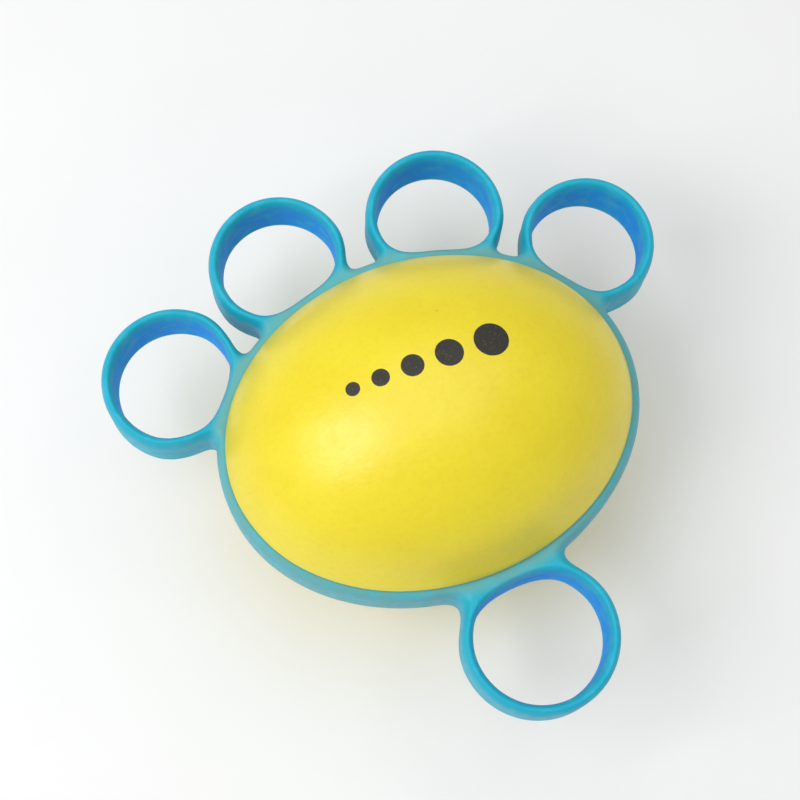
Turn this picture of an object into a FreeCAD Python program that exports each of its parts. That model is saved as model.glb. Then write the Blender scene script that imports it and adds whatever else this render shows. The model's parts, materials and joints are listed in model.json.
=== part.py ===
import FreeCAD, Part
import math
import os

import Sketcher

# Hand grip strengthener, in millimetres: a soft oval ball held round its middle by a moulded sleeve,
# which is a belt with five loops for the little, ring, middle and index fingers and the thumb.
# The origin is on the surface the ball lies on, under the middle of the outline. +X runs along the
# ball's long axis towards the index loop, +Y towards the four finger loops, and +Z up through the
# ball from the palm side to the fingertip side.

SIZES = {
    "ball_length": 73.0,      # along X
    "ball_width": 57.4,       # along Y and Z: the ball is round about its long axis
    "proud_at_ends": 0.7,     # the belt's outer face beyond the ball's widest line, along X
    "proud_at_sides": 1.5,    # the same along Y
    "belt_wall": 2.2,
    "belt_depth": 12.4,       # along Z, the same for the loops
    "seat_gap": 0.3,          # between the belt's inner face and the land round the ball
    "seat_depth": 18.4,       # along Z, enough for the land to run out into the dome at both ends
    "loop_wall": 2.2,
    "rim_round": 0.7,         # on every rim of the belt and the loops
    "web_reach": 4.0,         # from the belt's outer face to where a loop's web ends
    "flex_reach": 3.0,        # from the belt's outer face to the line a loop folds about
    "tool_reach": 40.0,       # how far a block or plug that only cuts other solids extends
}

# Each loop's place: the angle round the belt's outer ellipse that it springs from (in degrees from
# +X), how far its centre stands off the belt's outer face, and its outer radius.
LOOPS = {
    "little_finger": {"station": 147.1, "standoff": 9.2, "outer": 12.6},
    "ring_finger": {"station": 109.8, "standoff": 7.3, "outer": 12.4},
    "middle_finger": {"station": 70.6, "standoff": 6.1, "outer": 12.3},
    "index_finger": {"station": 32.1, "standoff": 7.4, "outer": 12.0},
    "thumb": {"station": -84.5, "standoff": 10.6, "outer": 13.5},
}

CUT_LEAST = 1.0               # mm3, the least that a cut has to take away

BALL_X = "dims.ball_length / 2"
BALL_Y = "dims.ball_width / 2"
BELT_OUTER_X = BALL_X + " + dims.proud_at_ends"
BELT_OUTER_Y = BALL_Y + " + dims.proud_at_sides"
BELT_INNER_X = BELT_OUTER_X + " - dims.belt_wall"
BELT_INNER_Y = BELT_OUTER_Y + " - dims.belt_wall"
SEAT_X = BELT_INNER_X + " - dims.seat_gap"
SEAT_Y = BELT_INNER_Y + " - dims.seat_gap"
BEYOND_X = BALL_X + " + dims.tool_reach"
BEYOND_Y = BALL_Y + " + dims.tool_reach"

UP = FreeCAD.Vector(0, 0, 1)
ORIGIN = FreeCAD.Vector(0, 0, 0)

doc = FreeCAD.newDocument("hand_grip_strengthener")


def make_sheet():
    """The driving dimensions, one alias to a row."""
    sheet = doc.addObject("Spreadsheet::Sheet", "dims")
    cells = dict(SIZES)
    for finger, place in LOOPS.items():
        for key, value in place.items():
            cells[f"{finger}_{key}"] = value
    for row, (alias, value) in enumerate(cells.items(), start=1):
        sheet.set(f"A{row}", alias)
        sheet.set(f"B{row}", str(value))
        sheet.setAlias(f"B{row}", alias)
    doc.recompute()
    return sheet


dims = make_sheet()


# ---------------------------------------------------------------- places worked out from the sheet


def length_of(expression):
    """What an expression over the sheet's cells comes to."""
    return float(dims.evalExpression(expression))


def belt_point(angle):
    """A point on the belt's outer ellipse and the outward direction there."""
    half_x = length_of(BELT_OUTER_X)
    half_y = length_of(BELT_OUTER_Y)
    point = FreeCAD.Vector(half_x * math.cos(angle), half_y * math.sin(angle), 0)
    outward = FreeCAD.Vector(math.cos(angle) / half_x, math.sin(angle) / half_y, 0)
    return point, outward.normalize()


def loop_root(finger):
    """Where a loop springs from the belt, and its outward direction, about the ball's centre."""
    return belt_point(math.radians(dims.get(f"{finger}_station")))


def loop_centre(finger):
    point, outward = loop_root(finger)
    return point + outward * dims.get(f"{finger}_standoff")


def ball_centre():
    """The ball's centre, which stands off the middle of the outline that the loops make."""
    low_x, high_x, low_y, high_y = 0, 0, 0, 0
    for finger in LOOPS:
        centre = loop_centre(finger)
        outer = dims.get(f"{finger}_outer")
        low_x = min(low_x, centre.x - outer)
        high_x = max(high_x, centre.x + outer)
        low_y = min(low_y, centre.y - outer)
        high_y = max(high_y, centre.y + outer)
    return FreeCAD.Vector(-(low_x + high_x) / 2, -(low_y + high_y) / 2, dims.ball_width / 2)


def loop_placement(finger):
    """The loop's own frame: its centre, with +Y straight out from the belt."""
    _, outward = loop_root(finger)
    turn = math.degrees(math.atan2(outward.y, outward.x)) - 90
    return FreeCAD.Placement(ball_centre() + loop_centre(finger), FreeCAD.Rotation(UP, turn))


def hinge_line(finger):
    """A point on the line that a loop folds about, and the line's direction."""
    point, outward = loop_root(finger)
    return ball_centre() + point + outward * dims.flex_reach, outward.cross(UP)


# ---------------------------------------------------------------- sketches and features


def new_body(name):
    body = doc.addObject("PartDesign::Body", name)
    body.Label = name
    return body


def new_sketch(body, name):
    """A sketch on the body's own XY plane."""
    sketch = body.newObject("Sketcher::SketchObject", name)
    planes = [plane for plane in body.Origin.OriginFeatures if plane.Role == "XY_Plane"]
    sketch.AttachmentSupport = [(planes[0], "")]
    sketch.MapMode = "FlatFace"
    return sketch


def bind(sketch, name, kind, geometry, expression):
    """A named length on one piece of geometry, driven by the sheet."""
    index = sketch.addConstraint(Sketcher.Constraint(kind, geometry, 1.0))
    sketch.renameConstraint(index, name)
    sketch.setExpression(f"Constraints.{name}", expression)


def bind_oval(sketch, curve, name, half_x, half_y):
    """Centres an ellipse, or an arc of one, lays its long axis along X and drives both its axes."""
    sketch.exposeInternalGeometry(curve)
    long_axis, short_axis = curve + 1, curve + 2
    sketch.addConstraint(Sketcher.Constraint("Coincident", curve, 3, -1, 1))
    sketch.addConstraint(Sketcher.Constraint("Horizontal", long_axis))
    bind(sketch, f"{name}_length", "Distance", long_axis, f"2 * ({half_x})")
    bind(sketch, f"{name}_width", "Distance", short_axis, f"2 * ({half_y})")


def add_oval(sketch, name, half_x, half_y):
    curve = sketch.addGeometry(Part.Ellipse(ORIGIN, length_of(half_x), length_of(half_y)), False)
    bind_oval(sketch, curve, name, half_x, half_y)


def add_circle(sketch, name, radius):
    curve = sketch.addGeometry(Part.Circle(ORIGIN, UP, length_of(radius)), False)
    sketch.addConstraint(Sketcher.Constraint("Coincident", curve, 3, -1, 1))
    bind(sketch, name, "Radius", curve, radius)


def pad_evenly(body, sketch, depth):
    """Pads a sketch by the same amount each way from its plane."""
    pad = body.newObject("PartDesign::Pad", f"{body.Name}_pad")
    pad.Profile = sketch
    pad.SideType = "Symmetric"
    pad.setExpression("Length", depth)
    doc.recompute()
    return pad


def round_rims(body, pad):
    """Rounds every rim of a ring, inside and out."""
    rims = []
    for number, edge in enumerate(pad.Shape.Edges, start=1):
        if isinstance(edge.Curve, (Part.Circle, Part.Ellipse)):
            rims.append(f"Edge{number}")
    fillet = body.newObject("PartDesign::Fillet", f"{body.Name}_rims")
    fillet.Base = (pad, rims)
    fillet.setExpression("Radius", "dims.rim_round")
    doc.recompute()


# ---------------------------------------------------------------- the ball


def half_ball(name, towards_palm):
    """One half of the foam ball: a half oval turned half way round the long axis."""
    body = new_body(name)
    profile = new_sketch(body, f"{name}_profile")
    oval = Part.Ellipse(ORIGIN, length_of(BALL_X), length_of(BALL_Y))
    arc = profile.addGeometry(Part.ArcOfEllipse(oval, 0, math.pi), False)
    bind_oval(profile, arc, "oval", BALL_X, BALL_Y)
    half_length = FreeCAD.Vector(length_of(BALL_X), 0, 0)
    chord = profile.addGeometry(Part.LineSegment(half_length * -1, half_length), False)
    profile.addConstraint(Sketcher.Constraint("Coincident", arc, 1, chord, 2))
    profile.addConstraint(Sketcher.Constraint("Coincident", arc, 2, chord, 1))
    profile.addConstraint(Sketcher.Constraint("PointOnObject", chord, 1, -1))
    profile.addConstraint(Sketcher.Constraint("PointOnObject", chord, 2, -1))
    dome = body.newObject("PartDesign::Revolution", f"{name}_dome")
    dome.Profile = profile
    dome.ReferenceAxis = (profile, ["H_Axis"])
    dome.Angle = 180
    dome.Reversed = towards_palm
    doc.recompute()
    cut_seat(body, dome)
    body.Placement = FreeCAD.Placement(ball_centre(), FreeCAD.Rotation())
    return body


def cut_seat(body, dome):
    """The land that the belt sits on: what stands out past it is taken off the half ball."""
    sketch = new_sketch(body, f"{body.Name}_seat_outline")
    add_oval(sketch, "land", SEAT_X, SEAT_Y)
    add_oval(sketch, "beyond", BEYOND_X, BEYOND_Y)
    seat = body.newObject("PartDesign::Pocket", f"{body.Name}_seat")
    seat.Profile = sketch
    seat.SideType = "Symmetric"
    seat.setExpression("Length", "dims.seat_depth")
    doc.recompute()
    if dome.Shape.Volume - seat.Shape.Volume < CUT_LEAST:
        raise SystemExit(f"the seat cut nothing from {body.Label}")


# ---------------------------------------------------------------- the sleeve


def belt():
    body = new_body("sleeve_belt")
    sketch = new_sketch(body, "belt_outline")
    add_oval(sketch, "outer", BELT_OUTER_X, BELT_OUTER_Y)
    add_oval(sketch, "inner", BELT_INNER_X, BELT_INNER_Y)
    round_rims(body, pad_evenly(body, sketch, "dims.belt_depth"))
    body.Placement = FreeCAD.Placement(ball_centre(), FreeCAD.Rotation())
    return body


def belt_filled():
    """Everything inside the belt's outer face, which the loops stop at."""
    body = new_body("inside_belt")
    sketch = new_sketch(body, "inside_belt_outline")
    add_oval(sketch, "outer", BELT_OUTER_X, BELT_OUTER_Y)
    pad_evenly(body, sketch, "dims.tool_reach")
    body.Placement = FreeCAD.Placement(ball_centre(), FreeCAD.Rotation())
    return body


def loop_band(finger):
    """The whole round band that a loop and its web are parts of."""
    body = new_body(f"{finger}_band")
    sketch = new_sketch(body, f"{finger}_circles")
    outer = f"dims.{finger}_outer"
    add_circle(sketch, "outer", outer)
    add_circle(sketch, "inner", f"{outer} - dims.loop_wall")
    round_rims(body, pad_evenly(body, sketch, "dims.belt_depth"))
    body.Placement = loop_placement(finger)
    return body


def beyond_web(finger):
    """A block that covers the band from the end of the web outwards."""
    block = doc.addObject("Part::Box", f"{finger}_block")
    for side in ("Length", "Width", "Height"):
        block.setExpression(side, "dims.tool_reach")
    near = dims.web_reach - dims.get(f"{finger}_standoff")
    corner = FreeCAD.Vector(-dims.tool_reach / 2, near, -dims.tool_reach / 2)
    block.Placement = loop_placement(finger).multiply(FreeCAD.Placement(corner, FreeCAD.Rotation()))
    return block


def cut(name, base, tool):
    piece = doc.addObject("Part::Cut", name)
    piece.Label = name
    piece.Base = base
    piece.Tool = tool
    return piece


def loop_parts(finger, inside_belt):
    """The loop, which holds its shape, and the web of two feet that bends between it and the belt."""
    band = loop_band(finger)
    block = beyond_web(finger)
    loop = doc.addObject("Part::Common", f"{finger}_loop")
    loop.Label = f"{finger}_loop"
    loop.Base = band
    loop.Tool = block
    near_part = cut(f"{finger}_near_part", band, block)
    return [loop, cut(f"{finger}_web", near_part, inside_belt)]


# ---------------------------------------------------------------- the whole, and its files


def build():
    nodes = [half_ball("ball_front", False), half_ball("ball_back", True), belt()]
    inside_belt = belt_filled()
    for finger in LOOPS:
        nodes += loop_parts(finger, inside_belt)
    doc.recompute()
    return nodes


def check(nodes):
    """Stops before anything is written if an object failed or a shape isn't sound."""
    for item in doc.Objects:
        if {"Invalid", "Error"} & set(item.State):
            raise SystemExit(f"{item.Label} failed: {item.State}")
    for node in nodes:
        if node.Shape.isNull() or not node.Shape.isValid():
            raise SystemExit(f"{node.Label} has no sound shape")
        print(f"{node.Label}: {node.Shape.Volume:.0f} mm3, {len(node.Shape.Solids)} solid(s)")


def write(nodes):
    os.makedirs("parts", exist_ok=True)
    for node in nodes:
        node.Shape.exportStep(f"parts/{node.Label}.step")


def report_places():
    """Prints the ball's centre and the line that each loop folds about."""
    print("ball centre", tuple(round(value, 3) for value in ball_centre()))
    for finger in LOOPS:
        point, axis = hinge_line(finger)
        print(finger, tuple(round(v, 3) for v in point), tuple(round(v, 5) for v in axis))


parts = build()
check(parts)
write(parts)
report_places()
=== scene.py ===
import json
import math

import bmesh
import bpy
import numpy as np
from mathutils import Matrix, Vector


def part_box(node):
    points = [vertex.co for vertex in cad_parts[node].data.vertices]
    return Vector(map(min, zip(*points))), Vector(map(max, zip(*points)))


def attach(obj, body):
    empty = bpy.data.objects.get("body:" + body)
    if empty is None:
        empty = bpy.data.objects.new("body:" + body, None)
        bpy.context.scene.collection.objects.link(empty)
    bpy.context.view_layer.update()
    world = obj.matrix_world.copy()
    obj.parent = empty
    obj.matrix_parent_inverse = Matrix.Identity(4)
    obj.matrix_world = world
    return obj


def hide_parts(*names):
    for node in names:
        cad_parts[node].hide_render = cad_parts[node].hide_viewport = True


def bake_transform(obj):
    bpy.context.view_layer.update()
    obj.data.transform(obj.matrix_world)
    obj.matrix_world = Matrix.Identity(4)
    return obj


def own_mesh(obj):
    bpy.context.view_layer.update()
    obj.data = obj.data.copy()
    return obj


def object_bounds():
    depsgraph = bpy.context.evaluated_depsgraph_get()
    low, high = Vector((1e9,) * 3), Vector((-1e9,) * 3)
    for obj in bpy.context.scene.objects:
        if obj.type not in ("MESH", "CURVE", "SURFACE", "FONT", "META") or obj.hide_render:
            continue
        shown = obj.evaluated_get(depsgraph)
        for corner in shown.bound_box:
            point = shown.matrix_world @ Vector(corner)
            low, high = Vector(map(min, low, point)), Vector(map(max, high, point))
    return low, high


# A hand grip strengthener: a yellow foam ball held round its middle by a blue silicone sleeve with a
# loop for each finger and one for the thumb. Lengths are in metres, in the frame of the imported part.

MM = 0.001

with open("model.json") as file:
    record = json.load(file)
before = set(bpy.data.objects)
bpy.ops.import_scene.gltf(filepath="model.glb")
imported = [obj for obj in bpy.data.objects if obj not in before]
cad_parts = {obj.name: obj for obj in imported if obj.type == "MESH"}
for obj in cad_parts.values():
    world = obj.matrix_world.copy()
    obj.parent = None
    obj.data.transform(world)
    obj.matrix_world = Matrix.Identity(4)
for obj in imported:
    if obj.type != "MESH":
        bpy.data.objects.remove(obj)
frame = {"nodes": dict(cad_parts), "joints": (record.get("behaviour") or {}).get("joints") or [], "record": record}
cad_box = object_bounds()
record = frame["record"]

FINGERS = ("little_finger", "ring_finger", "middle_finger", "index_finger", "thumb")

# ---------------------------------------------------------------- sizes that the frame doesn't hold

PROUD_AT_ENDS = 0.7 * MM   # the belt's outer face beyond the ball's widest line, along X
PROUD_AT_SIDES = 1.5 * MM  # the same along Y
BELT_WALL = 2.2 * MM
FLEX_REACH = 3.0 * MM      # from the belt's outer face to the line a loop folds about
LAND_GAP = 0.03 * MM       # between the belt's inner face and the foam it presses on
BELT_CROWN = 0.25 * MM     # how far the belt's rims curl in with the ball
RIM_HALF = 1.02 * MM       # half the width of the rounded crest along every rim of the sleeve
RIM_HEIGHT = 3.0 * MM      # height of that crest
SEAT_EDGE = 0.32 * MM      # reach of the small round between the belt's rim and the face on the foam
ROOT_FILLET = {"thumb": 5.2 * MM}    # reach of the soft corner where a loop runs into the belt
FINGER_FILLET = 3.6 * MM
LOOP_PINCH = {"thumb": 0.10}         # how much a loop draws in sideways towards its root
FINGER_PINCH = 0.30
FLASH_HEIGHT = 0.06 * MM   # the faint line where the two halves of the mould met
FLASH_WIDTH = 0.18 * MM
FLASH_LEVEL = -3.6 * MM    # from the sleeve's mid-plane, on the palm side
BLEND_START = 0.4 * MM     # from the belt's outer face: where a loop starts to bend
GRID = 0.5 * MM            # spacing of the grid that the sleeve's surface is found on
GRID_MARGIN = 1.5 * MM     # how far the grid goes beyond the CAD box
RIM_LEVELS = np.arange(0, 3.1, 0.3) * MM            # down from just above a rim: close levels of the grid
ABOVE_RIM = 0.45 * MM
FLASH_LEVELS = np.arange(-0.6, 0.61, 0.15) * MM     # from the mould line: its close levels
WIDE_LEVELS = 8            # levels between the mould line and the upper rim
WIDE_FROM = 1.2 * MM       # where those start above the mould line
WIDE_BELOW = 0.7 * MM      # and end below the rim's levels
CLOSEST_LEVELS = 0.1 * MM
SLOPE_STEP = 0.02 * MM     # step for finding the slope of a distance
SLOPE_FLOOR = 0.2          # the least squared slope used when a point is drawn on to the surface
DRAW_PASSES = 4            # how often each point is drawn towards the surface
LOOP_MARGIN = 0.9 * MM     # how far beyond a loop's outer radius a point still belongs to it
CUT_SNAP = 1e-7            # how near a cut a corner has to be to count as on it
TINY = 1e-9                # keeps a division from being by zero
WALL_SHADE_ACROSS = (-0.9 * MM, 0.4 * MM)   # across a loop's band: where the painted shade of its inner walls fades
WALL_SHADE_DOWN = (0.0 * MM, 3.4 * MM)    # below a rim: where that painted shade starts and is full
FOAM_REFLECTION_REACH = (1.2 * MM, 3.6 * MM)   # from the seat: where the painted light of the foam, seen through the silicone, stops

# ---------------------------------------------------------------- sizes and places from the frame

belt_low, belt_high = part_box("sleeve_belt")
MIDDLE = (belt_low + belt_high) / 2
BELT_X = (belt_high.x - belt_low.x) / 2
BELT_Y = (belt_high.y - belt_low.y) / 2
HALF_DEPTH = (belt_high.z - belt_low.z) / 2
BALL_X = BELT_X - PROUD_AT_ENDS
BALL_Y = BELT_Y - PROUD_AT_SIDES
BALL_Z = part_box("ball_front")[1].z - MIDDLE.z


def loop_facts(finger):
    """A loop's centre and radii, and the line it folds about, all from the ball's centre."""
    hole = next(m for m in record["mounts"] if m["name"] == f"{finger}_hole")
    fold = next(j for j in frame["joints"] if j["name"] == f"{finger}_fold")
    centre = Vector(hole["pos_m"]) - MIDDLE
    vertices = frame["nodes"][f"{finger}_loop"].data.vertices
    outer = max((v.co - MIDDLE - centre).to_2d().length for v in vertices)
    outward = Vector((0, 0, 1)).cross(Vector(fold["axis"])).normalized()
    return {"centre": centre, "inner": hole["dims"]["r_mm"] * MM, "outer": outer,
            "hinge": Vector(fold["pos_m"]) - MIDDLE, "outward": outward,
            "fillet": ROOT_FILLET.get(finger, FINGER_FILLET),
            "pinch": LOOP_PINCH.get(finger, FINGER_PINCH)}


LOOPS = {finger: loop_facts(finger) for finger in FINGERS}

# ---------------------------------------------------------------- the sleeve's shape as a distance


def smooth_step(value, low, high):
    share = np.clip((value - low) / (high - low), 0, 1)
    return share * share * (3 - 2 * share)


def oval_distance(x, y, half_x, half_y):
    """Distance from an ellipse, negative inside, close to true near its edge."""
    ratio = np.hypot(x / half_x, y / half_y)
    slope = np.hypot(x / half_x**2, y / half_y**2)
    return ratio * (ratio - 1) / np.maximum(slope, TINY)


def soft_join(a, b, reach):
    """The union of two shapes with a soft corner where they meet."""
    share = np.clip(0.5 + 0.5 * (b - a) / reach, 0, 1)
    return b + (a - b) * share - reach * share * (1 - share)


def beyond_band(loop, x, y):
    """How far a point is outside the middle of a loop's band, which draws in sideways at the belt."""
    from_x, from_y = x - loop["centre"].x, y - loop["centre"].y
    outward = loop["outward"]
    along = from_x * outward.x + from_y * outward.y
    across = from_y * outward.x - from_x * outward.y
    toward_belt = np.clip(-along / loop["outer"], 0, 1)
    radius = np.hypot(along, across * (1 + loop["pinch"] * toward_belt**2))
    return radius - (loop["inner"] + loop["outer"]) / 2


def band_distance(loop, x, y):
    return abs(beyond_band(loop, x, y)) - (loop["outer"] - loop["inner"]) / 2


def belt_curl(z):
    """How far the belt has curled in at a height."""
    return BELT_CROWN * (z / HALF_DEPTH) ** 2


def sleeve_outline(x, y, z):
    """Distance from the sleeve's outline at a height, with the belt's seat for the ball filled in."""
    outline = oval_distance(x, y, BELT_X, BELT_Y) + belt_curl(z)
    for loop in LOOPS.values():
        outline = soft_join(outline, band_distance(loop, x, y), loop["fillet"])
    return outline


def sleeve_distance(x, y, z):
    """Distance from the sleeve: its outline with crested rims and the mould line, less the ball's seat."""
    out = sleeve_outline(x, y, z) + RIM_HALF
    up = (abs(z) - HALF_DEPTH + RIM_HEIGHT) * RIM_HALF / RIM_HEIGHT
    rounded = np.hypot(np.maximum(out, 0), np.maximum(up, 0)) + np.minimum(np.maximum(out, up), 0)
    flash = FLASH_HEIGHT * np.exp(-(((z - FLASH_LEVEL) / FLASH_WIDTH) ** 2))
    seat = oval_distance(x, y, BELT_X - BELT_WALL, BELT_Y - BELT_WALL) + belt_curl(z)
    return -soft_join(RIM_HALF - FLASH_HEIGHT + flash - rounded, seat, SEAT_EDGE)


def slope_of(distance, points):
    """The distance and its slope at each point."""
    value = distance(*points.T)
    slope = np.empty_like(points)
    for axis in range(3):
        moved = points.copy()
        moved[:, axis] += SLOPE_STEP
        slope[:, axis] = (distance(*moved.T) - value) / SLOPE_STEP
    return value, slope


def sleeve_levels():
    """Heights of the grid: close together at the rims and the mould line, wider apart between."""
    top = HALF_DEPTH + ABOVE_RIM - RIM_LEVELS
    flash = FLASH_LEVEL + FLASH_LEVELS
    wide = np.linspace(FLASH_LEVEL + WIDE_FROM, top[-1] - WIDE_BELOW, WIDE_LEVELS)
    levels = np.sort(np.concatenate([-top, flash, wide, top]))
    keep = np.concatenate([[True], np.diff(levels) > CLOSEST_LEVELS])
    return levels[keep]


def cell_edges(axis, first, second):
    """Where one edge of every cell starts and ends: an edge along an axis, on one of its four sides."""
    others = [a for a in range(3) if a != axis]
    low = [None] * 3
    low[axis] = slice(0, -1)
    for other, side in zip(others, (first, second)):
        low[other] = slice(side, None if side else -1)
    high = list(low)
    high[axis] = slice(1, None)
    return tuple(low), tuple(high)


def along_axis(line, axis):
    """A line of grid positions, shaped so that it runs along one axis of a 3-D array."""
    shape = [1, 1, 1]
    shape[axis] = len(line)
    return line.reshape(shape)


def crossing_points(values, axes):
    """For each cell, the mean of the points where its edges cross zero, and how many do."""
    cells = [len(line) - 1 for line in axes]
    total = np.zeros(cells + [3])
    count = np.zeros(cells)
    for axis in range(3):
        for side in range(4):
            low, high = cell_edges(axis, side // 2, side % 2)
            a, b = values[low], values[high]
            crossed = (a < 0) != (b < 0)
            share = np.where(crossed, a / np.where(crossed, a - b, 1), 0)
            for other in range(3):
                place = along_axis(axes[other][low[other]], other)
                if other == axis:
                    place = place + share * along_axis(np.diff(axes[axis]), axis)
                total[..., other] += np.where(crossed, place, 0)
            count += crossed
    return total, count


def crossing_quads(inside, number):
    """A quad for each grid edge that crosses the surface, joining the four cells round it."""
    quads = []
    for axis in range(3):
        one, two = (axis + 1) % 3, (axis + 2) % 3
        low = [slice(1, -1)] * 3
        low[axis] = slice(0, -1)
        high = list(low)
        high[axis] = slice(1, None)
        here, there = inside[tuple(low)], inside[tuple(high)]
        for flipped, crossed in ((False, here & ~there), (True, ~here & there)):
            cells = np.argwhere(crossed)
            cells[:, [one, two]] += 1
            corners = []
            for back_one, back_two in ((1, 1), (0, 1), (0, 0), (1, 0)):
                corner = cells.copy()
                corner[:, one] -= back_one
                corner[:, two] -= back_two
                corners.append(number[tuple(corner.T)])
            quad = np.stack(corners, axis=1)
            quads.append(quad[:, ::-1] if flipped else quad)
    return np.concatenate(quads)


def sleeve_mesh():
    """The whole sleeve as one closed surface, with its points drawn on to the exact shape."""
    low, high = cad_box[0] - MIDDLE, cad_box[1] - MIDDLE
    xs = np.arange(low.x - GRID_MARGIN, high.x + GRID_MARGIN, GRID)
    ys = np.arange(low.y - GRID_MARGIN, high.y + GRID_MARGIN, GRID)
    axes = (xs, ys, sleeve_levels())
    values = sleeve_distance(*np.meshgrid(*axes, indexing="ij"))
    total, count = crossing_points(values, axes)
    used = count > 0
    number = np.full(used.shape, -1)
    number[used] = np.arange(used.sum())
    points = total[used] / count[used][:, None]
    for _ in range(DRAW_PASSES):
        value, slope = slope_of(sleeve_distance, points)
        points -= slope * (value / np.maximum((slope**2).sum(1), SLOPE_FLOOR))[:, None]
    return points.tolist(), crossing_quads(values < 0, number).tolist()


def mesh_object(name, points, faces):
    mesh = bpy.data.meshes.new(name)
    mesh.from_pydata(points, [], faces)
    mesh.update()
    piece = bpy.data.objects.new(name, mesh)
    bpy.context.scene.collection.objects.link(piece)
    return piece


def shade_smooth(piece):
    piece.data.polygons.foreach_set("use_smooth", [True] * len(piece.data.polygons))


def belongs(loop, point):
    """Whether a point is in a loop and not in its neighbour or the belt's far side."""
    away = (point - loop["centre"]).to_2d().length
    return away < loop["outer"] + LOOP_MARGIN


def cut_at_root(piece, loop, keep_loop):
    """Cuts the sleeve across a loop's two feet and closes the cut. Keeps the loop, or all the rest."""
    model = bmesh.new()
    model.from_mesh(piece.data)
    outward = loop["outward"]
    start = loop["hinge"] + outward * (BLEND_START - FLEX_REACH)
    near = [f for f in model.faces if belongs(loop, f.calc_center_median())]
    if keep_loop:
        far = [f for f in model.faces if not belongs(loop, f.calc_center_median())]
        bmesh.ops.delete(model, geom=far, context="FACES")
        near = list(model.faces)
    geometry = set(near)
    for face in near:
        geometry.update(face.edges)
        geometry.update(face.verts)
    bmesh.ops.bisect_plane(model, geom=list(geometry), dist=CUT_SNAP, plane_co=start, plane_no=outward)
    drop = []
    for face in model.faces:
        middle = face.calc_center_median()
        beyond = belongs(loop, middle) and (middle - start).dot(outward) > 0
        if beyond != keep_loop:
            drop.append(face)
    bmesh.ops.delete(model, geom=drop, context="FACES")
    open_edges = [e for e in model.edges if e.is_boundary]
    bmesh.ops.holes_fill(model, edges=open_edges, sides=0)
    model.to_mesh(piece.data)
    model.free()


def true_normals(piece):
    """Shades a piece of the sleeve by the exact shape, so that no cut shows."""
    points = np.array([v.co for v in piece.data.vertices])
    _, slope = slope_of(sleeve_distance, points)
    slope /= np.maximum(np.linalg.norm(slope, axis=1), TINY)[:, None]
    shade_smooth(piece)
    piece.data.normals_split_custom_set_from_vertices(slope.tolist())


def keep_mark(piece, name, values):
    mark = piece.data.attributes.new(name, "FLOAT", "POINT")
    mark.data.foreach_set("value", values.astype(np.float32))


def mark_places(piece):
    """Keeps with each point, at rest, a mask for the painted shade down a loop's inner walls, from how far it is
    inside the loop and below its rims, and a mask for the painted light of the foam through the silicone, from how
    near it is to the foam.
    """
    x, y, z = np.array([v.co for v in piece.data.vertices]).T
    # painted shade mask: inside a loop's band and down from its rims
    inside = np.zeros(len(x))
    for loop in LOOPS.values():
        inside = np.maximum(inside, 1 - smooth_step(beyond_band(loop, x, y), *WALL_SHADE_ACROSS))
    inside *= smooth_step(HALF_DEPTH - abs(z), *WALL_SHADE_DOWN)
    keep_mark(piece, "inner_wall_shade", inside)
    # painted light mask: full near the seat of the foam, gone further off
    from_seat = oval_distance(x, y, BELT_X - BELT_WALL, BELT_Y - BELT_WALL)
    keep_mark(piece, "foam_reflection_mask", 1 - smooth_step(from_seat, *FOAM_REFLECTION_REACH))


def make_sleeve(material):
    points, quads = sleeve_mesh()
    belt = mesh_object("belt", points, quads)
    loops = {}
    for finger in FINGERS:
        loops[finger] = mesh_object(f"loop_{finger}", points, quads)
        cut_at_root(loops[finger], LOOPS[finger], True)
        cut_at_root(belt, LOOPS[finger], False)
    for piece in (belt, *loops.values()):
        true_normals(piece)
        mark_places(piece)
        piece.data.transform(Matrix.Translation(MIDDLE))
        piece.data.materials.append(material)
    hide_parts("sleeve_belt")
    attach(belt, "sleeve")
    for finger, piece in loops.items():
        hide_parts(f"{finger}_loop", f"{finger}_web")
        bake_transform(piece)


# ---------------------------------------------------------------- the ball

BALL_ROUND = 300           # points in each of the ball's level rings
INSIDE_RINGS = 8           # rings hidden under half of the belt
DOME_RINGS = 72            # rings from above the belt to the top
RIM_RINGS = np.arange(-0.4, 2.2, 0.12) * MM   # heights of the closest rings, from the belt's rim
PRESS_START = HALF_DEPTH - 0.05 * MM  # height at which the foam starts to come out from under the belt
PRESS_END = HALF_DEPTH + 0.5 * MM     # height at which it is free of the belt
SWAY = 0.035 * MM          # height of the faint waves in the moulded foam
FIRST_WAVE = (3.1 * MM, 3.7 * MM, 5.3 * MM)    # how long the waves are along each axis
SECOND_WAVE = (5.9 * MM, 2.3 * MM, 2.9 * MM)
FIRST_SHIFT = 0.7          # radians by which each is moved along X or Y
SECOND_SHIFT = -1.1
SWELL = 0.30 * MM          # how far the foam swells over the belt's rim at the ball's sides
THUMB_SWELL = 0.40 * MM    # how much further it does so on the thumb's side
INDEX_DRAW = 0.22 * MM     # how much less it does so at the end by the index loop
SWELL_HEIGHT = 0.9 * MM    # how far above the rim it does so most
SWELL_REACH = 2.6 * MM     # how far above and below that height the swelling goes


def pressed_in(x, y, z):
    """How much narrower the belt holds the foam, as a share of its free width."""
    land_x = BELT_X - BELT_WALL - LAND_GAP - belt_curl(z)
    land_y = BELT_Y - BELT_WALL - LAND_GAP - belt_curl(z)
    ratio = np.hypot(x / land_x, y / land_y)
    held = np.minimum(1 / np.maximum(ratio, TINY), 1)
    from_rim = (abs(z) - HALF_DEPTH - SWELL_HEIGHT) / SWELL_REACH
    reach = np.maximum(np.hypot(x / BALL_X, y / BALL_Y), TINY)
    endways, sideways = x / BALL_X / reach, y / BALL_Y / reach
    swell = SWELL * sideways**2 + THUMB_SWELL * np.maximum(-sideways, 0)
    swell -= INDEX_DRAW * np.maximum(endways, 0)
    free = 1 + swell / BALL_Y * np.exp(-(from_rim**2))
    return held + (free - held) * smooth_step(abs(z), PRESS_START, PRESS_END)


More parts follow.
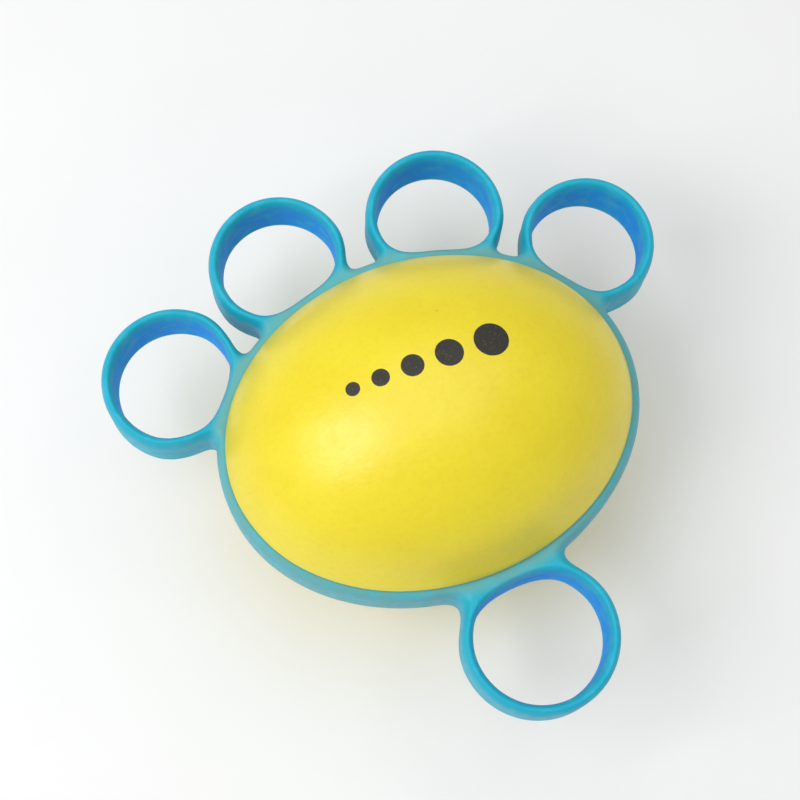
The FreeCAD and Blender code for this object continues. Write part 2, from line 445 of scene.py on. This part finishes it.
def foam_waves(x, y, z):
    """A few long waves that cross, so that the highlight isn't perfectly even."""
    long_x, long_y, long_z = FIRST_WAVE
    first = np.sin(x / long_x + FIRST_SHIFT) * np.sin(y / long_y + z / long_z)
    long_x, long_y, long_z = SECOND_WAVE
    second = np.sin(y / long_y + SECOND_SHIFT) * np.sin(x / long_x - z / long_z)
    return SWAY * (first + second) / 2


def ring_angles():
    """How high each ring of points is, as an angle from the ball's middle: closest at the belt's rims."""
    rim = np.arcsin((HALF_DEPTH + RIM_RINGS) / BALL_Z)
    inside = np.linspace(0, rim[0], INSIDE_RINGS)[1:-1]
    dome = np.linspace(rim[-1], math.pi / 2, DOME_RINGS)[1:-1]
    up = np.concatenate([inside, rim, dome])
    return np.concatenate([-up[::-1], [0], up])


def ball_points():
    """Level rings of points from the palm side to the fingertip side, then the lowest and highest point."""
    around = np.linspace(0, 2 * math.pi, BALL_ROUND, endpoint=False)
    height, around = np.meshgrid(ring_angles(), around, indexing="ij")
    x = BALL_X * (np.cos(height) * np.cos(around)).ravel()
    y = BALL_Y * (np.cos(height) * np.sin(around)).ravel()
    z = BALL_Z * np.sin(height).ravel()
    x = np.append(x, [0, 0])
    y = np.append(y, [0, 0])
    z = np.append(z, [-BALL_Z, BALL_Z])
    held = pressed_in(x, y, z)
    points = np.stack([x * held, y * held, z], axis=-1)
    return points * (1 + (foam_waves(x, y, z) - SWAY) / BALL_Z)[:, None]


def ball_faces(rings):
    lowest, highest = rings * BALL_ROUND, rings * BALL_ROUND + 1
    faces = []
    for column in range(BALL_ROUND):
        beside = (column + 1) % BALL_ROUND
        faces.append((lowest, beside, column))
        for row in range(rings - 1):
            under, over = row * BALL_ROUND, (row + 1) * BALL_ROUND
            faces.append((under + column, under + beside, over + beside, over + column))
        top = (rings - 1) * BALL_ROUND
        faces.append((highest, top + column, top + beside))
    return faces


def make_ball(material):
    """The foam ball: an oval round about its long axis, drawn in where the belt holds it."""
    points = ball_points() + np.array(MIDDLE)
    ball = mesh_object("foam_ball", points.tolist(), ball_faces(len(points) // BALL_ROUND))
    shade_smooth(ball)
    ball.data.materials.append(material)
    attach(ball, "sleeve")
    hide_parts("ball_front", "ball_back")
    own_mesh(ball)


# ---------------------------------------------------------------- material building blocks

SPOT_CORE = 0.5            # share of a spot's radius from which it starts to fade
MIX_FIRST = 6              # the colours' sockets on a Mix node
MIX_SECOND = 7
MIX_RESULT = 2


def new_material(name):
    material = bpy.data.materials.new(name)
    material.use_nodes = True
    tree = material.node_tree
    return material, tree, tree.nodes["Principled BSDF"]


def feed(tree, socket, value):
    """Links an input to another node's output, or sets it to a plain value."""
    if isinstance(value, bpy.types.NodeSocket):
        tree.links.new(value, socket)
    else:
        socket.default_value = value


def rest_place(tree):
    return tree.nodes.new("ShaderNodeTexCoord").outputs["Object"]


def marked(tree, name):
    """A value that was kept with each point."""
    made = tree.nodes.new("ShaderNodeAttribute")
    made.attribute_name = name
    return made.outputs["Fac"]


def noise(tree, place, grain, detail=2.0):
    """Soft noise from about 0 to 1, with features about one grain across. Detail adds finer ones."""
    made = tree.nodes.new("ShaderNodeTexNoise")
    feed(tree, made.inputs["Vector"], place)
    made.inputs["Scale"].default_value = 1 / grain
    made.inputs["Detail"].default_value = detail
    return made.outputs[0]


def between(tree, value, low, high, start=0.0, end=1.0):
    """Start below low, end above high, and a smooth change between them."""
    made = tree.nodes.new("ShaderNodeMapRange")
    made.interpolation_type = "SMOOTHSTEP"
    for number, given in enumerate((value, low, high, start, end)):
        feed(tree, made.inputs[number], given)
    return made.outputs[0]


def calculate(tree, operation, first, second=0.0):
    made = tree.nodes.new("ShaderNodeMath")
    made.operation = operation
    feed(tree, made.inputs[0], first)
    feed(tree, made.inputs[1], second)
    return made.outputs[0]


def mixed(tree, share, first, second):
    """One colour turning into another as the share goes from 0 to 1."""
    made = tree.nodes.new("ShaderNodeMix")
    made.data_type = "RGBA"
    feed(tree, made.inputs[0], share)
    feed(tree, made.inputs[MIX_FIRST], first)
    feed(tree, made.inputs[MIX_SECOND], second)
    return made.outputs[MIX_RESULT]


def raised(tree, height, distance, under=None):
    """A bump of that height in metres, on top of another if one is given."""
    made = tree.nodes.new("ShaderNodeBump")
    made.inputs["Distance"].default_value = distance
    feed(tree, made.inputs["Height"], height)
    if under is not None:
        tree.links.new(under, made.inputs["Normal"])
    return made.outputs["Normal"]


def scattered(tree, place, spacing, radius, share_of_cells):
    """Small round spots in some of the cells of a loose grid: 1 in a spot and 0 outside."""
    made = tree.nodes.new("ShaderNodeTexVoronoi")
    feed(tree, made.inputs["Vector"], place)
    made.inputs["Scale"].default_value = 1 / spacing
    spot = between(tree, made.outputs["Distance"], SPOT_CORE * radius / spacing, radius / spacing, 1.0, 0.0)
    chosen = calculate(tree, "LESS_THAN", made.outputs["Color"], share_of_cells)
    return calculate(tree, "MULTIPLY", spot, chosen)


def set_depth(shader, specular, weight, radius, scale):
    """How strongly a surface reflects, and how much and how far light spreads under it."""
    shader.inputs["Specular IOR Level"].default_value = specular
    shader.inputs["Subsurface Weight"].default_value = weight
    shader.inputs["Subsurface Radius"].default_value = radius
    shader.inputs["Subsurface Scale"].default_value = scale


# ---------------------------------------------------------------- materials

# Painted shade: the loops' inner walls turn from the rims' blue to this deeper, more saturated blue, standing in
# for the shade down them and the light bounced between them.
WALL_SHADE_BLUE = (0.006, 0.320, 0.920, 1)
RIM_BLUE = (0.014, 0.440, 0.620, 1)
BLOOM_BLUE = (0.050, 0.530, 0.700, 1)
# Painted light: the greener blue that the belt takes near the foam, standing in for the foam's yellow light
# through the silicone.
FOAM_REFLECTION_BLUE = (0.175, 0.440, 0.420, 1)
DUST = (0.55, 0.66, 0.68, 1)
FOAM_YELLOW = (0.88, 0.715, 0.006, 1)
FOAM_PALE = (0.92, 0.765, 0.014, 1)
# darker foam for the random flecks, and the painted shade inside the pinholes
FOAM_FLECK_AND_PIT_SHADE = (0.66, 0.50, 0.010, 1)
INK = (0.010, 0.008, 0.003, 1)

# The scale of dots printed on the ball: where the first one starts, the gap between neighbours, and
# their diameters from the softest to the firmest grade.
DOTS_START = -13.4 * MM
DOTS_GAP = 2.0 * MM
DOTS_SIDE = 4.6 * MM           # from the ball's middle towards the fingers
DOT_SIZES = (2.4 * MM, 3.0 * MM, 3.8 * MM, 4.7 * MM, 5.8 * MM)
INK_EDGE = 0.07 * MM           # how far the ink fades at a dot's edge
INK_RAGGED = 0.10 * MM         # how uneven that edge is
INK_RAGGED_GRAIN = 0.28 * MM

# The values of a noise between which a pattern goes from none to full.
CLOUDS = (0.3, 0.7)
SATIN = (0.25, 0.75)
BLOOMS = (0.44, 0.72)
FLECKS = (0.42, 0.78)
WEAR = (0.25, 0.45)

# The silicone's patterns: a grain is how large a pattern's features are.
WALL_GRAIN = 9 * MM            # slow changes in the painted shade of the inner walls
WALL_SHARE = 0.72              # how much of that painted shade is there at its weakest
FOAM_REFLECTION_SHARE = 0.8               # how far the belt turns to the greener blue of that painted foam light
BLOOM_GRAIN = 2.6 * MM         # a faint paler bloom all over
BLOOM_SHARE = 0.50
DUST_SPACING = 6.0 * MM
DUST_RADIUS = 0.16 * MM
DUST_CELLS = 0.30              # share of the places that have a speck
DUST_SHARE = 0.8
DUST_HEIGHT = 0.04 * MM
SATIN_GRAIN = 1.4 * MM
SATIN_ROUGHNESS = (0.40, 0.54)
WALL_ROUGHNESS = 0.25          # added on the inner walls
FLOW_GRAIN = 3.2 * MM          # the faint flow of the silicone in its mould
FLOW_HEIGHT = 0.07 * MM
SILICONE_GRAIN = 0.40 * MM
SILICONE_GRAIN_HEIGHT = 0.030 * MM
SILICONE_SPECULAR = 0.24
SILICONE_SUBSURFACE = 0.18
SILICONE_SCATTER = (0.3, 0.8, 1.0)
SILICONE_SCATTER_SCALE = 1.2 * MM


def silicone_colour(tree, place, wall_shade, dust):
    cloud = between(tree, noise(tree, place, WALL_GRAIN, detail=3.0), *CLOUDS, WALL_SHARE, 1.0)
    # Painted shade: a deeper blue down the loops' inner walls, fading towards the rims.
    painted_wall_shade = calculate(tree, "MULTIPLY", wall_shade, cloud)
    colour = mixed(tree, painted_wall_shade, RIM_BLUE, WALL_SHADE_BLUE)
    # Painted light: greener near the foam, for the foam's yellow light through the silicone; it also paints over
    # the shade in the groove at the seat.
    foam_reflection = calculate(tree, "MULTIPLY", marked(tree, "foam_reflection_mask"), FOAM_REFLECTION_SHARE)
    colour = mixed(tree, foam_reflection, colour, FOAM_REFLECTION_BLUE)
    bloom = between(tree, noise(tree, place, BLOOM_GRAIN, detail=4.0), *BLOOMS, 0.0, BLOOM_SHARE)
    colour = mixed(tree, bloom, colour, BLOOM_BLUE)
    return mixed(tree, calculate(tree, "MULTIPLY", dust, DUST_SHARE), colour, DUST)


def silicone():
    """Satin silicone rubber, a little dusty, with painted shade and painted light: a deeper blue down the loops'
    inner walls, so the rims stay paler, and a greener blue near the foam for its yellow light through the
    silicone.
    """
    material, tree, shader = new_material("blue_silicone")
    place = rest_place(tree)
    wall_shade = marked(tree, "inner_wall_shade")
    dust = scattered(tree, place, DUST_SPACING, DUST_RADIUS, DUST_CELLS)
    tree.links.new(silicone_colour(tree, place, wall_shade, dust), shader.inputs["Base Color"])
    satin = between(tree, noise(tree, place, SATIN_GRAIN, detail=3.0), *SATIN, *SATIN_ROUGHNESS)
    rough = calculate(tree, "ADD", satin, calculate(tree, "MULTIPLY", wall_shade, WALL_ROUGHNESS))
    tree.links.new(rough, shader.inputs["Roughness"])
    flow = raised(tree, noise(tree, place, FLOW_GRAIN, detail=1.0), FLOW_HEIGHT)
    grain = raised(tree, noise(tree, place, SILICONE_GRAIN), SILICONE_GRAIN_HEIGHT, flow)
    tree.links.new(raised(tree, dust, DUST_HEIGHT, grain), shader.inputs["Normal"])
    set_depth(shader, SILICONE_SPECULAR, SILICONE_SUBSURFACE, SILICONE_SCATTER, SILICONE_SCATTER_SCALE)
    return material


def squared(tree, value):
    return calculate(tree, "POWER", calculate(tree, "ABSOLUTE", value), 2.0)


def dot_scale(tree, place):
    """The printed row of dots, each larger than the last: 1 on ink and 0 elsewhere."""
    ragged = calculate(tree, "MULTIPLY", noise(tree, place, INK_RAGGED_GRAIN), INK_RAGGED)
    split = tree.nodes.new("ShaderNodeSeparateXYZ")
    tree.links.new(place, split.inputs[0])
    ink = 0.0
    left = DOTS_START
    for size in DOT_SIZES:
        centre_x = MIDDLE.x + left + size / 2
        away_x = calculate(tree, "SUBTRACT", split.outputs["X"], centre_x)
        away_y = calculate(tree, "SUBTRACT", split.outputs["Y"], MIDDLE.y + DOTS_SIDE)
        squares = calculate(tree, "ADD", squared(tree, away_x), squared(tree, away_y))
        away = calculate(tree, "ADD", calculate(tree, "SQRT", squares), ragged)
        dot = between(tree, away, size / 2, size / 2 + INK_EDGE, 1.0, 0.0)
        ink = calculate(tree, "MAXIMUM", dot, ink)
        left += size + DOTS_GAP
    front = calculate(tree, "GREATER_THAN", split.outputs["Z"], MIDDLE.z)
    return calculate(tree, "MULTIPLY", ink, front)


# The foam's patterns.
TONE_GRAIN = 14 * MM           # slow changes of tone
FLECK_GRAIN = 0.9 * MM         # small darker flecks
FLECK_SHARE = 0.15
PIN_SPACING = 5.0 * MM
PIN_RADIUS = 0.17 * MM
PIN_CELLS = 0.34               # share of the places that have a pinhole
# how much painted shade darkens each pinhole
PIN_SHADE_SHARE = 0.7
PIN_DEPTH = 0.09 * MM
WORN_GRAIN = 0.35 * MM         # the ink's faint wear
WORN_SHARE = 0.93
SKIN_GRAIN = 2.2 * MM
SKIN_ROUGHNESS = (0.31, 0.43)
INK_ROUGHNESS = 0.2            # added on the ink
INK_HEIGHT = 0.012 * MM
DIMPLE_GRAIN = 1.7 * MM
DIMPLE_HEIGHT = 0.045 * MM
FOAM_GRAIN = 0.42 * MM
FOAM_GRAIN_HEIGHT = 0.030 * MM
FOAM_SPECULAR = 0.75
FOAM_SUBSURFACE = 0.12
FOAM_SCATTER = (1.0, 0.8, 0.15)
FOAM_SCATTER_SCALE = 1.5 * MM


def foam_colour(tree, place, pinholes, ink):
    cloud = between(tree, noise(tree, place, TONE_GRAIN, detail=3.0), *CLOUDS)
    colour = mixed(tree, cloud, FOAM_YELLOW, FOAM_PALE)
    fleck = noise(tree, place, FLECK_GRAIN, detail=4.0)
    colour = mixed(tree, between(tree, fleck, *FLECKS, 0.0, FLECK_SHARE), colour, FOAM_FLECK_AND_PIT_SHADE)
    # Painted shade: each pinhole darkened as if shaded inside.
    colour = mixed(tree, calculate(tree, "MULTIPLY", pinholes, PIN_SHADE_SHARE), colour, FOAM_FLECK_AND_PIT_SHADE)
    worn = between(tree, noise(tree, place, WORN_GRAIN, detail=3.0), *WEAR, WORN_SHARE, 1.0)
    return mixed(tree, calculate(tree, "MULTIPLY", ink, worn), colour, INK)


def foam():
    """Moulded soft foam: a satin skin with a fine grain, faint clouds of tone and a few pinholes, darkened with
    painted shade.
    """
    material, tree, shader = new_material("yellow_foam")
    place = rest_place(tree)
    pinholes = scattered(tree, place, PIN_SPACING, PIN_RADIUS, PIN_CELLS)
    ink = dot_scale(tree, place)
    tree.links.new(foam_colour(tree, place, pinholes, ink), shader.inputs["Base Color"])
    rough = between(tree, noise(tree, place, SKIN_GRAIN, detail=4.0), *SATIN, *SKIN_ROUGHNESS)
    rough = calculate(tree, "ADD", rough, calculate(tree, "MULTIPLY", ink, INK_ROUGHNESS))
    tree.links.new(rough, shader.inputs["Roughness"])
    dimples = raised(tree, noise(tree, place, DIMPLE_GRAIN), DIMPLE_HEIGHT)
    grain = raised(tree, noise(tree, place, FOAM_GRAIN, detail=3.0), FOAM_GRAIN_HEIGHT, dimples)
    holes = calculate(tree, "SUBTRACT", 1.0, pinholes)
    grain = raised(tree, holes, PIN_DEPTH, grain)
    tree.links.new(raised(tree, ink, INK_HEIGHT, grain), shader.inputs["Normal"])
    set_depth(shader, FOAM_SPECULAR, FOAM_SUBSURFACE, FOAM_SCATTER, FOAM_SCATTER_SCALE)
    return material


# ---------------------------------------------------------------- stage, lights and camera

FLOOR_HALF = 1.5
FLOOR_GRAIN = 40 * MM
FLOOR_DARK = (0.935, 0.935, 0.935, 1)
FLOOR_PALE = (0.95, 0.95, 0.95, 1)
FLOOR_ROUGHNESS = 0.9
FLOOR_SPECULAR = 0.2
WORLD_STRENGTH = 0.44
KEY_LIGHT = {"place": (-0.38, 0.00, 0.475), "size": 0.36, "power": 1.70}   # from the ball, in metres
OVERHEAD_LIGHT = {"place": (0.08, 0.12, 0.69), "size": 0.70, "power": 1.75}


def pale_floor():
    material, tree, shader = new_material("pale_floor")
    tone = between(tree, noise(tree, rest_place(tree), FLOOR_GRAIN, detail=4.0), *CLOUDS)
    tree.links.new(mixed(tree, tone, FLOOR_DARK, FLOOR_PALE), shader.inputs["Base Color"])
    shader.inputs["Roughness"].default_value = FLOOR_ROUGHNESS
    shader.inputs["Specular IOR Level"].default_value = FLOOR_SPECULAR
    return material


def add_floor():
    half = FLOOR_HALF
    corners = [(-half, -half, 0), (half, -half, 0), (half, half, 0), (-half, half, 0)]
    floor = mesh_object("floor", corners, [(0, 1, 2, 3)])
    floor.data.materials.append(pale_floor())


def add_light(name, place, size, power):
    """A soft square light that faces the ball."""
    light = bpy.data.lights.new(name, "AREA")
    light.size = size
    light.energy = power
    lamp = bpy.data.objects.new(name, light)
    bpy.context.scene.collection.objects.link(lamp)
    lamp.location = MIDDLE + Vector(place)
    lamp.rotation_mode = "QUATERNION"
    lamp.rotation_quaternion = (-Vector(place)).to_track_quat("-Z", "Y")


def add_lights():
    world = bpy.data.worlds.new("studio")
    bpy.context.scene.world = world
    world.use_nodes = True
    background = world.node_tree.nodes["Background"]
    background.inputs["Color"].default_value = (1, 1, 1, 1)
    background.inputs["Strength"].default_value = WORLD_STRENGTH
    add_light("key", **KEY_LIGHT)
    add_light("overhead", **OVERHEAD_LIGHT)


CAMERA_REACH = 307 * MM    # from the lens to the plane through the ball's centre
CAMERA_ASIDE = (-4.96 * MM, 4.67 * MM)   # how far the lens stands right of and above the ball's centre
CAMERA_TILT = 13.75        # degrees back from straight above, towards the thumb's side
CAMERA_LEAN = -1.3         # degrees to the side
CAMERA_ROLL = -20.3        # degrees that the picture is turned
LENS = 79.7                # mm, as on a camera
NEAREST = 10 * MM          # nearer than this nothing is drawn


def add_camera():
    """A camera almost over the ball, turned so that the ball's long axis rises to the right."""
    turn = (Matrix.Rotation(math.radians(CAMERA_ROLL), 3, "Z")
            @ Matrix.Rotation(math.radians(CAMERA_TILT), 3, "X")
            @ Matrix.Rotation(math.radians(CAMERA_LEAN), 3, "Y"))
    data = bpy.data.cameras.new("camera")
    data.lens = LENS
    data.clip_start = NEAREST
    camera = bpy.data.objects.new("camera", data)
    bpy.context.scene.collection.objects.link(camera)
    offset = Vector((CAMERA_ASIDE[0], CAMERA_ASIDE[1], CAMERA_REACH))
    camera.matrix_world = Matrix.Translation(MIDDLE + turn @ offset) @ turn.to_4x4()
    bpy.context.scene.camera = camera


make_ball(foam())
make_sleeve(silicone())
add_floor()
add_lights()
add_camera()
bpy.context.scene.view_settings.view_transform = "Standard"
